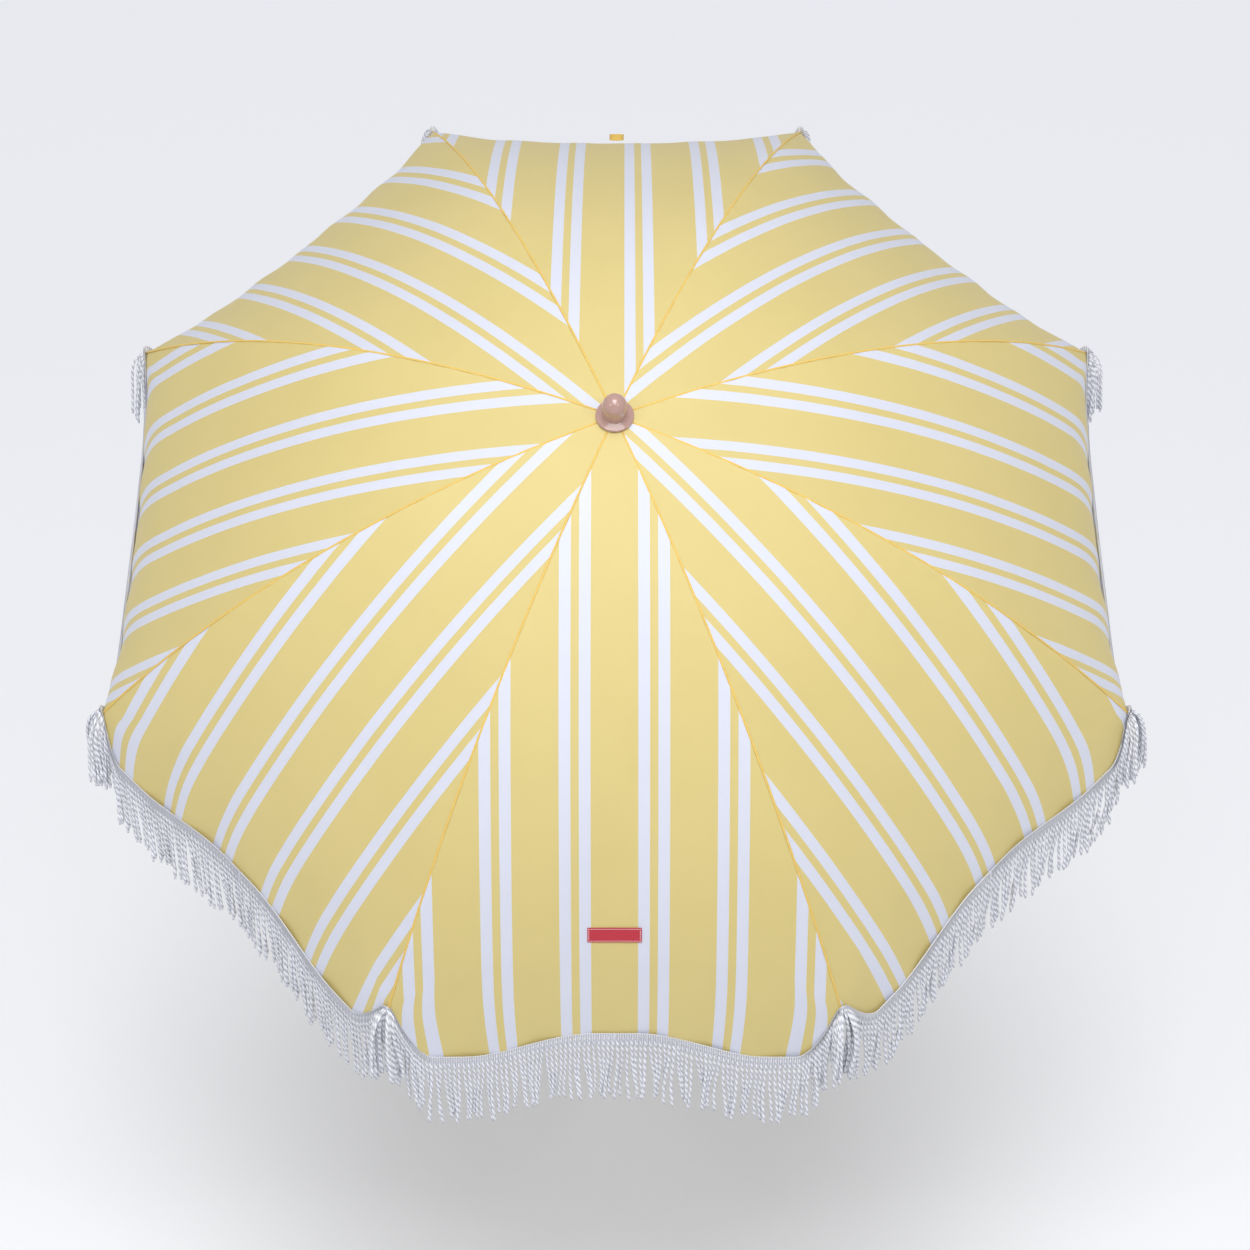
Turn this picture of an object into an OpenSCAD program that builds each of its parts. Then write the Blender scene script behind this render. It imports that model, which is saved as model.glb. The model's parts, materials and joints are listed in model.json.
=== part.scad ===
// Beach umbrella: tilted fringed canopy on eight folding ribs, on a two-part pole.
// The frame's origin is the foot of the lower pole; Z points up and Y points to the back.
// The upper mast leans towards -Y; its own axes start at the tilt pivot.

/* [View] */
// Which sub-part to draw

/* [Canopy] */
// Radius of the circle through the rib tips, mm
canopy_radius = 900; // [700:1200]
// Radius of the arc that every rib is bent to, mm
rib_arc = 1312; // [1000:2500]
// Thickness of the fabric solid, mm
fabric_thick = 0.6; // [0.5:0.1:2]
// Height of the fabric's outer face above the rib's centre line, mm
fabric_lift = 5.4; // [4.5:0.1:8]
// Hem drop at the middle of a panel, mm
drop_mid = 48; // [20:100]
// Extra hem drop at the two lobes of a panel, mm
drop_lobe = 40; // [0:100]
// Dip of the cloth between two ribs, as a share of half its width
dip = 0.04; // [0:0.01:0.1]
// Length of the hanging fringe, mm
fringe_length = 132; // [60:200]

/* [Frame] */
// Lean of the mast from upright, degrees
tilt = 35; // [0:45]
// Height of the tilt pivot above the foot, mm
pivot_height = 850; // [600:1100]
// Distance from the tilt pivot to the ring that the ribs turn on, mm
hub_height = 1150; // [900:1400]
// Radius of the hub ring, mm
hub_ring_radius = 25; // [20:35]
// Radius of a rib rod, mm
rib_r = 2.5; // [2:0.5:4]
// Radius of a stretcher rod, mm
stretcher_r = 2.5; // [1.5:0.5:3]
// Distance along the rib from the hub ring to the stretcher joint, mm
joint_reach = 420; // [300:500]
// Drop of the stretcher joint below the rib's centre line, mm
joint_drop = 7; // [6:12]

/* [Pole] */
// Outer radius of the lower pole, mm
lower_r = 16; // [12:20]
// Height at which the lower pole narrows to its neck, below the collar, mm
neck_z = 685; // [600:685]
// Outer radius of the inner pole, mm
inner_r = 14.43; // [10:18]
// Outer radius of the mast, mm
mast_r = 13.5; // [10:16]

/* [Hidden] */
$fn = 64;
// polar angles, on the rib's arc, of the hub ring, the rod's end and the hem line
ang_hub = asin(hub_ring_radius / rib_arc);
ang_hem = asin(canopy_radius / rib_arc);
ang_rod = ang_hem - 0.6;
ang_joint = ang_hub + 2 * asin(joint_reach / 2 / rib_arc);
// height of the arc's centre above the tilt pivot, along the mast
arc_z = hub_height - rib_arc * cos(ang_hub);
// stretcher joint, as distance from the mast's axis and height
joint_x = (rib_arc - joint_drop) * sin(ang_joint);
joint_z = arc_z + (rib_arc - joint_drop) * cos(ang_joint);
// the stretcher is as long as the line from hub ring to joint, so it mirrors that line
stretcher_len = norm([joint_x - hub_ring_radius, joint_z - hub_height]);
stretcher_ang = asin((hub_height - joint_z) / stretcher_len);
// height of the stretchers' lower pivots on the open umbrella
runner_z = 2 * joint_z - hub_height;
// direction in which the fringe hangs, in the mast's axes
hang = [0, -sin(tilt), -cos(tilt)];
half_panel = 22.5;
// radius of the lower pole's neck, which the collar sits on
neck_r = lower_r - 0.6;
gap = 0.3;
hub_top = hub_height + 3.5;
crown_z = hub_height + 6;
fabric_arc = rib_arc + fabric_lift;
// shares of the half panel's width at which the fabric solid has a column, from seam to middle
columns = [0, 0.06, 0.12, 0.2, 0.3, 0.5, 0.75, 1];
// polar angles at which the fabric solid has a row
rows = [for (i = [0 : 14]) 0.36 + (ang_hem - 0.36) * i / 14];
last_row = len(rows) - 1;
n_col = 2 * len(columns) - 1;

// ---- helpers ----

// puts a child drawn in the mast's axes into the part's frame
module on_mast() {
  translate([0, 0, pivot_height])
    rotate([tilt, 0, 0])
      children();
}

// turns a child drawn in the X-Z plane to rib number k
module at_rib(k) {
  on_mast()
    rotate([0, 0, rib_angle(k)])
      children();
}

// cylinder along X, Y or Z between two coordinates
module rod_x(r, a, b) {
  translate([a, 0, 0])
    rotate([0, 90, 0])
      cylinder(r = r, h = b - a);
}

module rod_y(r, a, b) {
  translate([0, a, 0])
    rotate([-90, 0, 0])
      cylinder(r = r, h = b - a);
}

module rod_z(r, a, b) {
  translate([0, 0, a])
    cylinder(r = r, h = b - a);
}

module tube_z(r_out, r_in, a, b) {
  difference() {
    rod_z(r_out, a, b);
    rod_z(r_in, a - 1, b + 1);
  }
}

function rib_angle(k) = half_panel + 45 * (k - 1);

function unit(v) = v / norm(v);

function ease(a, b, x) =
  let (t = min(1, max(0, (x - a) / (b - a))))
  t * t * (3 - 2 * t);

// how far the hem hangs past the hem line, at a share x of the half panel from its middle
function hem_drop(x) =
  (drop_mid + drop_lobe * ease(0.1, 0.75, x)) * (1 - ease(0.82, 1, x)) + 14 * ease(0.82, 1, x);

// column j of a gore: [share of the half panel from the seam, side]
function col_share(j) = columns[abs(j - (len(columns) - 1))];
function col_side(j) = sign(j - (len(columns) - 1));

// direction from the axis to the middle of the panel on that side of rib k
function panel_dir(k, side) =
  let (a = rib_angle(k) + side * half_panel)
  [cos(a), sin(a), 0];

function rib_dir(k) = [cos(rib_angle(k)), sin(rib_angle(k)), 0];

// point on the gore at polar angle p, on an arc of radius arc
function dome_point(k, p, j, arc) =
  let (r = arc * sin(p))
  let (seam = r * rib_dir(k))
  let (mid = r * cos(half_panel) * panel_dir(k, col_side(j)))
  let (reach = r * sin(half_panel))
  let (share = min(col_share(j), 1 - gap / reach))
  seam + share * (mid - seam) + [0, 0, arc_z + arc * cos(p)]
    - dip * reach * (1 - pow(1 - share, 2)) * out_dir(k, col_side(j), p);

// direction down the panel at the hem line, and outward normal at polar angle p
function down_dir(k, side) =
  unit(cos(ang_hem) * cos(half_panel) * panel_dir(k, side) - [0, 0, sin(ang_hem)]);

function out_dir(k, side, p) =
  unit(sin(p) * panel_dir(k, side) + [0, 0, cos(p) * cos(half_panel)]);

// horizontal direction along the panel's hem, away from rib k
function hem_dir(k, side) =
  let (a = rib_angle(k) + side * half_panel)
  side * [-sin(a), cos(a), 0];

// horizontal direction out of cloth or fringe that hangs at that side of rib k
function curtain_dir(k, side) =
  let (a = rib_angle(k) + side * half_panel)
  unit(cross(hang, [-sin(a), cos(a), 0]));

// direction of the cloth below the hem line: it hangs, and draws in towards the panel's middle
function skirt_dir(k, j) =
  let (side = col_side(j))
  unit(0.15 * down_dir(k, side) + hang) + 0.4 * pow(1 - col_share(j), 3) * hem_dir(k, side);

function hem_point(k, j, share, arc) =
  let (drop = hem_drop(1 - col_share(j)))
  dome_point(k, ang_hem, j, arc) + share * drop * skirt_dir(k, j);

// faces that close the shell between an outer and an inner grid of n rows by m columns
function grid_faces(n, m) =
  let (q = n * m)
  concat(
    [for (i = [0 : n - 2]) for (j = [0 : m - 2])
      each [[i * m + j, (i + 1) * m + j, (i + 1) * m + j + 1],
            [i * m + j, (i + 1) * m + j + 1, i * m + j + 1]]],
    [for (i = [0 : n - 2]) for (j = [0 : m - 2])
      each [[q + i * m + j, q + (i + 1) * m + j + 1, q + (i + 1) * m + j],
            [q + i * m + j, q + i * m + j + 1, q + (i + 1) * m + j + 1]]],
    [for (j = [0 : m - 2])
      each [[j, j + 1, q + j + 1],
            [j, q + j + 1, q + j]]],
    [for (j = [0 : m - 2]) let (b = (n - 1) * m)
      each [[b + j, q + b + j + 1, b + j + 1],
            [b + j, q + b + j, q + b + j + 1]]],
    [for (i = [0 : n - 2])
      each [[i * m, q + i * m, q + (i + 1) * m],
            [i * m, q + (i + 1) * m, (i + 1) * m]]],
    [for (i = [0 : n - 2]) let (b = m - 1)
      each [[i * m + b, (i + 1) * m + b, q + (i + 1) * m + b],
            [i * m + b, q + (i + 1) * m + b, q + i * m + b]]]
  );

// ---- canopy ----

// one gore: the cloth from the middle of one panel, over rib k, to the middle of the next
module gore(k) {
  outer = concat(
    [for (i = [0 : last_row]) for (j = [0 : n_col - 1]) dome_point(k, rows[i], j, fabric_arc)],
    [for (s = [0.4, 1]) for (j = [0 : n_col - 1]) hem_point(k, j, s, fabric_arc)]
  );
  inner = concat(
    [for (i = [0 : last_row]) for (j = [0 : n_col - 1])
      dome_point(k, rows[i], j, fabric_arc - fabric_thick)],
    [for (s = [0.4, 1]) for (j = [0 : n_col - 1])
      hem_point(k, j, s, fabric_arc) - fabric_thick * curtain_dir(k, col_side(j))]
  );
  color([0.88, 0.8, 0.48])
    on_mast()
      polyhedron(points = concat(outer, inner), faces = grid_faces(last_row + 3, n_col));
}

// curtain that stands for the cord fringe under gore k
module fringe(k) {
  front = [for (s = [1.8, fringe_length]) for (j = [0 : n_col - 1])
    hem_point(k, j, 1, fabric_arc) + s * hang + 1 * curtain_dir(k, col_side(j))];
  back = [for (s = [1.8, fringe_length]) for (j = [0 : n_col - 1])
    hem_point(k, j, 1, fabric_arc) + s * hang - 2 * curtain_dir(k, col_side(j))];
  color([0.93, 0.93, 0.96])
    on_mast()
      polyhedron(points = concat(front, back), faces = grid_faces(2, n_col));
}

// slope of a panel's middle line at polar angle p
function panel_slope(p) = atan2(sin(p), cos(p) * cos(half_panel));

// small stitched label on the front panel
module label() {
  p = 37.66;
  r = fabric_arc * sin(p) * cos(half_panel);
  z = arc_z + fabric_arc * cos(p);
  slope = panel_slope(p);
  sink = dip * fabric_arc * sin(p) * sin(half_panel);
  color([0.8, 0.12, 0.2])
    on_mast()
      translate([0, -r, z])
        rotate([slope, 0, 0])
          translate([-41, -11.5, 0.8 - sink])
            cube([82, 23, 0.6]);
}

// loop of tape on the hem of the back panel, for tying the folded canopy
module tie_strap() {
  k = 2;
  top = dome_point(k, ang_hem, n_col - 1, fabric_arc);
  color([0.9, 0.72, 0.3])
    on_mast()
      translate([0, top[1], top[2]])
        rotate([panel_slope(ang_hem), 0, 180])
          translate([-16, -6, 1])
            difference() {
              cube([32, 26, 1.2]);
              translate([6, 6, -1])
                cube([20, 14, 4]);
            }
}

// ---- ribs and stretchers ----

module rib(k) {
  color([0.85, 0.86, 0.88])
    at_rib(k)
      difference() {
        union() {
          // the rod, bent to a circular arc
          translate([0, 0, arc_z])
            rotate([-90, 0, 0])
              rotate([0, 0, -90 + ang_hub])
                rotate_extrude(angle = ang_rod - ang_hub)
                  translate([rib_arc, 0])
                    circle(r = rib_r, $fn = 32);
          // eye on the hub ring
          translate([hub_ring_radius, 0, hub_height])
            rod_y(3.6, -3.2, 3.2);
          // ear for the stretcher
          translate([joint_x, 0, joint_z])
            rod_y(3.2, -1.5, 1.5);
          translate([joint_x, 0, joint_z])
            rotate([0, ang_joint, 0])
              translate([-3.2, -1.5, 0])
                cube([6.4, 3, joint_drop]);
        }
        translate([hub_ring_radius, 0, hub_height])
          rod_y(1.3, -5, 5);
        translate([joint_x, 0, joint_z])
          rod_y(1.56, -5, 5);
      }
}

module rib_tip(k) {
  color([0.93, 0.93, 0.9])
    at_rib(k)
      translate([rib_arc * sin(ang_rod), 0, arc_z + rib_arc * cos(ang_rod)])
        rotate([0, ang_rod, 0])
          difference() {
            union() {
              rod_x(4, -9, 4.5);
              translate([4.5, 0, 0])
                sphere(r = 4, $fn = 48);
            }
            rod_x(rib_r + 0.15, -10, 0.3);
          }
}

module stretcher(k) {
  color([0.85, 0.86, 0.88])
    at_rib(k)
      translate([joint_x, 0, joint_z])
        rotate([0, 180 - stretcher_ang, 0])
          union() {
            // fork around the rib's ear, with its pin
            for (s = [-1, 1]) {
              translate([0, s * 2.65 - 1, 0])
                rod_y(3.3, 0, 2);
              translate([0, s * 2.65 - 1, -3.3])
                cube([9, 2, 6.6]);
            }
            translate([6, -3.65, -3.3])
              cube([5, 7.3, 6.6]);
            rod_y(1.5, -4.2, 4.2);
            rod_x(stretcher_r, 9, stretcher_len);
            // knuckle with the cross pin that sits in the runner's grooves
            translate([stretcher_len, 0, 0])
              rod_y(3.4, -3.2, 3.2);
            translate([stretcher_len, 0, 0])
              rod_y(1.5, -5.4, 5.4);
          }
}

// ---- hub, finial and runner ----

module hub() {
  color([0.95, 0.95, 0.93])
    on_mast()
      difference() {
        rotate_extrude()
          polygon([[3.05, hub_height - 9], [mast_r + 0.05, hub_height - 9],
            [mast_r + 0.05, hub_height - 40], [17.5, hub_height - 40],
            [17.5, hub_height - 12], [29, hub_height - 6], [29, hub_top], [3.05, hub_top]]);
        for (k = [1 : 8])
          rotate([0, 0, rib_angle(k)])
            translate([19.5, -3.5, hub_height - 14])
              cube([12, 7, 20]);
        translate([0, 0, hub_height])
          rotate_extrude()
            translate([hub_ring_radius, 0])
              circle(r = 1.05, $fn = 24);
      }
}

module hub_ring() {
  color([0.7, 0.71, 0.73])
    on_mast()
      translate([0, 0, hub_height])
        rotate_extrude()
          translate([hub_ring_radius, 0])
            circle(r = 1, $fn = 24);
}

module finial() {
  // the knob is a ball drawn out along the mast
  knob_low = crown_z + 17;
  knob_high = crown_z + 31;
  color([0.72, 0.55, 0.5])
    on_mast()
      difference() {
        union() {
          rotate_extrude()
            polygon([[0, hub_top + 0.2], [6, hub_top + 0.2], [6, crown_z], [28, crown_z],
              [29.5, crown_z + 1.5], [29.5, crown_z + 3.5], [28.5, crown_z + 4.8],
              [24, crown_z + 6.2], [19, crown_z + 8], [16, crown_z + 14], [0, crown_z + 14]]);
          for (z = [knob_low, knob_high])
            translate([0, 0, z])
              sphere(r = 19);
          rod_z(18.95, knob_low, knob_high);
        }
        rod_z(3.05, hub_top - 1, crown_z + 16);
      }
}

module finial_screw() {
  color([0.7, 0.71, 0.73])
    on_mast()
      rod_z(3, hub_height - 30, crown_z + 15.5);
}

module runner() {
  color([0.95, 0.95, 0.93])
    on_mast()
      difference() {
        rotate_extrude()
          polygon([[mast_r + 0.06, runner_z - 62], [20, runner_z - 62], [20, runner_z - 57],
            [17.2, runner_z - 52], [17.2, runner_z - 12], [30, runner_z - 6],
            [30, runner_z + 5], [17.2, runner_z + 8], [mast_r + 0.06, runner_z + 8]]);
        for (k = [1 : 8])
          rotate([0, 0, rib_angle(k)])
            translate([0, 0, runner_z]) {
              translate([19.5, -3.5, -14])
                cube([12, 7, 26]);
              // groove for the cross pin, open below
              translate([hub_ring_radius, 0, 0])
                rod_y(1.6, -5.7, 5.7);
              translate([hub_ring_radius - 1.6, -5.7, -14])
                cube([3.2, 11.4, 14]);
            }
      }
}

// ---- mast and tilt joint ----

module mast() {
  color([0.72, 0.52, 0.34])
    on_mast()
      tube_z(mast_r, mast_r - 1.2, 55, hub_height - 9.2);
}

module tilt_tongue() {
  color([0.75, 0.76, 0.78])
    on_mast()
      difference() {
        union() {
          rod_x(12.5, -7, 7);
          translate([-7, -12.5, 0])
            cube([14, 25, 30]);
          rod_z(17, 28, 55);
          rod_z(mast_r - 1.25, 55, 95);
        }
        rod_x(3.06, -10, 10);
        translate([0, 0, 41])
          rod_y(4.06, -20, -8.5);
      }
}

module tilt_button() {
  color([0.2, 0.2, 0.22])
    on_mast()
      translate([0, 0, 41])
        rod_y(4, -20, -12);
}

module tilt_clevis() {
  base = pivot_height - 28;
  color([0.75, 0.76, 0.78])
    difference() {
      union() {
        for (s = [-1, 1])
          translate([s * 10.05, 0, 0]) {
            translate([0, 0, pivot_height])
              rod_x(13, -2.95, 2.95);
            translate([-2.95, -13, base - 1])
              cube([5.9, 26, 29]);
          }
        rod_z(17, base - 27, base);
        rod_z(12.95, base - 62, base - 27);
      }
      translate([0, 0, pivot_height])
        rod_x(3.02, -20, 20);
    }
}

module tilt_pin() {
  color([0.7, 0.71, 0.73])
    translate([0, 0, pivot_height]) {
      rod_x(3, -15.5, 15.5);
      rod_x(5.5, -15.5, -13.1);
      rod_x(5.5, 13.1, 15.5);
    }
}

// ---- poles ----

module inner_pole() {
  color([0.72, 0.52, 0.34])
    tube_z(inner_r, 13, pivot_height - 570, pivot_height - 55);
}

module lower_pole() {
  color([0.72, 0.52, 0.34])
    difference() {
      union() {
        rod_z(lower_r, 0, neck_z);
        rod_z(neck_r, neck_z - 1, 770);
      }
      rod_z(14.5, -1, 771);
      translate([0, 0, 730])
        rod_x(4.06, 0, 20);
    }
}

module lock_collar() {
  color([0.95, 0.95, 0.93])
    difference() {
      union() {
        rod_z(21, 690, 775);
        translate([0, 0, 730])
          rod_x(10, 0, 27);
      }
      rod_z(neck_r + 0.05, 689, 770.2);
      rod_z(14.6, 769, 776);
      translate([0, 0, 730])
        rod_x(4.06, 0, 30);
    }
}

module lock_knob() {
  color([0.2, 0.2, 0.22])
    translate([0, 0, 730])
      difference() {
        union() {
          rod_x(4, 14.7, 30);
          rod_x(16, 27.4, 42);
          rod_x(9, 42, 45);
        }
        for (a = [0 : 60 : 300])
          rotate([a, 0, 0])
            translate([0, 0, 19.5])
              rod_x(6, 26, 43);
      }
}

module ground_spike() {
  color([0.2, 0.2, 0.22])
    rotate_extrude()
      polygon([[0, -60], [2, -60], [15.5, -8], [15.5, -0.1], [14.4, -0.1], [14.4, 40], [0, 40]]);
}

ground_spike();
lower_pole();
lock_collar();
lock_knob();
inner_pole();
tilt_clevis();
tilt_pin();
tilt_tongue();
tilt_button();
mast();
hub();
hub_ring();
finial();
finial_screw();
runner();
rib(1);  // rib_1
rib(2);  // rib_2
rib(3);  // rib_3
rib(4);  // rib_4
rib(5);  // rib_5
rib(6);  // rib_6
rib(7);  // rib_7
rib(8);  // rib_8
rib_tip(1);  // rib_tip_1
rib_tip(2);  // rib_tip_2
rib_tip(3);  // rib_tip_3
rib_tip(4);  // rib_tip_4
rib_tip(5);  // rib_tip_5
rib_tip(6);  // rib_tip_6
rib_tip(7);  // rib_tip_7
rib_tip(8);  // rib_tip_8
stretcher(1);  // stretcher_1
stretcher(2);  // stretcher_2
stretcher(3);  // stretcher_3
stretcher(4);  // stretcher_4
stretcher(5);  // stretcher_5
stretcher(6);  // stretcher_6
stretcher(7);  // stretcher_7
stretcher(8);  // stretcher_8
gore(1);  // canopy_gore_1
gore(2);  // canopy_gore_2
gore(3);  // canopy_gore_3
gore(4);  // canopy_gore_4
gore(5);  // canopy_gore_5
gore(6);  // canopy_gore_6
gore(7);  // canopy_gore_7
gore(8);  // canopy_gore_8
fringe(1);  // fringe_1
fringe(2);  // fringe_2
fringe(3);  // fringe_3
fringe(4);  // fringe_4
fringe(5);  // fringe_5
fringe(6);  // fringe_6
fringe(7);  // fringe_7
fringe(8);  // fringe_8
label();
tie_strap();
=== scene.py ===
# %% [markdown]
# # A fringed beach umbrella, seen from above
# A beach umbrella is cloth stretched over a folding steel skeleton.  The skeleton is already
# made: it comes in as a fixed frame of separate parts, each riding on a body that can move.
# This lesson dresses that frame.  It makes the striped cloth, its seams, the cotton fringe, the
# label and the tape loop, and gives each hard part a finish.
# Everything is in metres, and every finished piece sits at the origin with its place in its mesh.

# %% Load the frame
import json
import math

import bmesh
import bpy
import numpy as np
from mathutils import Matrix, Vector, noise


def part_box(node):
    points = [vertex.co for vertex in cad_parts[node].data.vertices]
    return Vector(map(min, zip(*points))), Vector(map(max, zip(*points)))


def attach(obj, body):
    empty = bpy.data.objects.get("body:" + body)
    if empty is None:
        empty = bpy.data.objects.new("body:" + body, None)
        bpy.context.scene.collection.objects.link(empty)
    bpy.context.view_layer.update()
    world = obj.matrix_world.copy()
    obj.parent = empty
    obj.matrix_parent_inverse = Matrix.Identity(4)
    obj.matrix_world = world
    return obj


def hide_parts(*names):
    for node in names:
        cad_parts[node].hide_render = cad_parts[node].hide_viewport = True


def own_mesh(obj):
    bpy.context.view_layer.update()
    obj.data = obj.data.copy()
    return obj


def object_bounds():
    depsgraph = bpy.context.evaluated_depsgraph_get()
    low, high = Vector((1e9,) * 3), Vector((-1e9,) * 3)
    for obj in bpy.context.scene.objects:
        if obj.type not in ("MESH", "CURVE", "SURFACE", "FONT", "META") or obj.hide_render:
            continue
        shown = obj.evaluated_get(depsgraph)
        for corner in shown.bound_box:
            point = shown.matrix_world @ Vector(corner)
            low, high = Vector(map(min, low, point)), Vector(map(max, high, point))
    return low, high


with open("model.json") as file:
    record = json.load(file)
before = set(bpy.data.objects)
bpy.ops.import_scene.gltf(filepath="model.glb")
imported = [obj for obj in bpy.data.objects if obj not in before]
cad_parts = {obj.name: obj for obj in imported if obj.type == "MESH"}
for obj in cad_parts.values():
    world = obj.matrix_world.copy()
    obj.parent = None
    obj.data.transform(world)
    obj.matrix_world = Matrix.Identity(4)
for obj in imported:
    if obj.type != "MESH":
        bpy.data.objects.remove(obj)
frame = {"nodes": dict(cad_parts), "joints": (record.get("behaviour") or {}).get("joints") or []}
cad_low, cad_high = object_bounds()

# %% [markdown]
# ## The mast's own axes
# The mast leans, and every part of the canopy is laid out round it.  The canopy could be worked
# out in the frame's axes, but every sum would then carry the lean.  Measuring in the mast's own
# axes keeps the sums simple: x to the right, y away from the lean, z up the mast.  The joints of
# the frame say where the pivot is and which way the mast points, so nothing is typed twice.

# %% Axes from the joints
joints = {j["name"]: j for j in frame["joints"]}
pivot = Vector(joints["tilt"]["pos_m"])
mast_up = -Vector(joints["runner_slide"]["axis"]).normalized()
mast_x = Vector((1, 0, 0))
mast_y = mast_up.cross(mast_x)
MAST = np.array([mast_x, mast_y, mast_up]).T
LEAN = math.asin(-mast_up.y)


def to_world(points):
    """Points in the mast's axes, as points in the frame."""
    return np.asarray(points) @ MAST.T + np.array(pivot)


def direction_in_mast(vector):
    """A direction in the frame, in the mast's axes."""
    return np.asarray(vector) @ MAST


HANG = direction_in_mast((0, 0, -1))
print("mast leans", round(math.degrees(LEAN), 2), "degrees")

# %% [markdown]
# ## The shape of the stretched cloth
# Each rib is a rod bent to one circular arc, so the cloth follows that arc along its seams.
# Between two seams the cloth is pulled straight across and dips a little, as stretched cloth on
# a dome does.  A formula is the best way to make it: the same function then places the cloth,
# its seams, the fringe and the label, and they all fit each other.

# %% Sizes of the canopy
RIBS = 8
HALF_PANEL = math.radians(22.5)
RIB_ARC = 1.312
CANOPY_RADIUS = 0.9
HUB_RING = 0.025
HUB_HEIGHT = 1.150
CLOTH_ABOVE_RIB = 0.0054
CLOTH_ARC = RIB_ARC + CLOTH_ABOVE_RIB
ARC_Z = HUB_HEIGHT - math.sqrt(RIB_ARC**2 - HUB_RING**2)
HEM_ANGLE = math.asin(CANOPY_RADIUS / RIB_ARC)
CROWN_HOLE = 0.0262
CROWN_ANGLE = CROWN_HOLE / CLOTH_ARC
DIP = 0.04
print("rib arc", RIB_ARC, "m, hem at", round(math.degrees(HEM_ANGLE), 1), "degrees")

# %% Points on the dome
def ease(a, b, x):
    """Rises smoothly from 0 at a to 1 at b."""
    t = np.clip((np.asarray(x, float) - a) / (b - a), 0, 1)
    return t * t * (3 - 2 * t)


def unit(v):
    v = np.asarray(v, float)
    return v / np.linalg.norm(v, axis=-1, keepdims=True)


def rib_angle(k):
    return HALF_PANEL + 2 * HALF_PANEL * (k - 1)


def flat_dir(angle):
    return np.array([math.cos(angle), math.sin(angle), 0.0])


def outward(side_angle, p):
    """Square to the panel's middle line, at angle p down from the crown."""
    p = np.asarray(p, float)
    flat = np.sin(p)[..., None] * flat_dir(side_angle)
    up = (np.cos(p) * math.cos(HALF_PANEL))[..., None] * np.array([0, 0, 1.0])
    return unit(flat + up)


def dome_point(k, side, share, p):
    """A point of the stretched cloth beside rib k: share 0 on the rib, 1 at the panel's middle."""
    share = np.asarray(share, float)
    p = np.asarray(p, float)
    r = CLOTH_ARC * np.sin(p)
    panel = rib_angle(k) + side * HALF_PANEL
    seam = r[..., None] * flat_dir(rib_angle(k))
    middle = (r * math.cos(HALF_PANEL))[..., None] * flat_dir(panel)
    reach = r * math.sin(HALF_PANEL)
    height = (ARC_Z + CLOTH_ARC * np.cos(p))[..., None] * np.array([0, 0, 1.0])
    sink = (DIP * reach * (1 - (1 - share) ** 2))[..., None] * outward(panel, p)
    return seam + share[..., None] * (middle - seam) + height - sink


print("a panel dips", round(DIP * CANOPY_RADIUS * math.sin(HALF_PANEL), 4), "m at the hem")

# %% [markdown]
# ## The hanging hem
# Past the rib ends nothing stretches the cloth, so it hangs.  Its edge is cut in a wave: short at
# the rib tips, longest in two lobes and a little shorter at the middle of the panel.  Close to a
# rib tip the hanging cloth draws in towards the panel.  The turn from stretched to hanging cloth
# is a soft bend and not a crease.  A cloth simulation could hang it, but the hem's cut and its
# fringe have to come out where they are measured, so it is a formula like the dome.

# %% Cut of the hem
HEM_MIDDLE = 0.058
HEM_LOBE = 0.040
HEM_AT_TIP = 0.003
SIDE_LOSS = 0.40
BEND = 0.160
BEND_AT_RIB = 0.020
DRAW_IN = 0.26
RUN_ON = 1.1


def hem_drop(x, panel=None):
    """How far the hem hangs at a share x of the half panel from its middle."""
    x = np.asarray(x, float)
    # the lean pulls the side panels flatter, so they hang less than the front one
    full = 1 if panel is None else 1 - SIDE_LOSS * abs(math.cos(panel))
    body = full * (HEM_MIDDLE + HEM_LOBE * ease(0.1, 0.75, x))
    tip = ease(0.86, 1, x)
    return body * (1 - tip) + HEM_AT_TIP * tip


def bend_length(share):
    """Length of cloth over which it turns to hang, short on a rib and long between two."""
    return BEND_AT_RIB + (BEND - BEND_AT_RIB) * ease(0, 0.3, share)


def bend_angle(share):
    """Where the bend starts, half its length above the hem line."""
    return HEM_ANGLE - bend_length(share) / 2 / CLOTH_ARC


print("hem hangs", hem_drop([0, 0.8, 1]).round(3), "m at middle, lobe and rib tip")

# %% From stretched to hanging
def hanging_dirs(k, side, share):
    """Directions down the stretched cloth and down the hanging cloth, at the hem line."""
    share = np.asarray(share, float)
    panel = rib_angle(k) + side * HALF_PANEL
    sink = np.array([0, 0, math.sin(HEM_ANGLE)])
    down_rib = math.cos(HEM_ANGLE) * flat_dir(rib_angle(k)) - sink
    down_panel = math.cos(HEM_ANGLE) * math.cos(HALF_PANEL) * flat_dir(panel) - sink
    on_panel = ease(0, 0.25, share)[..., None]
    down = unit(on_panel * down_panel + (1 - on_panel) * down_rib)
    along = side * np.array([-math.sin(panel), math.cos(panel), 0.0])
    inward = DRAW_IN * (1 - share) ** 2 * ease(0, 0.15, share)
    # in front the hem runs on in the panel's own direction, at the sides it falls
    run_on = RUN_ON * np.clip(-1.4 * math.sin(panel), 0, 1)
    hanging = unit(HANG + run_on * down) + inward[..., None] * along
    return down, hanging


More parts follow.
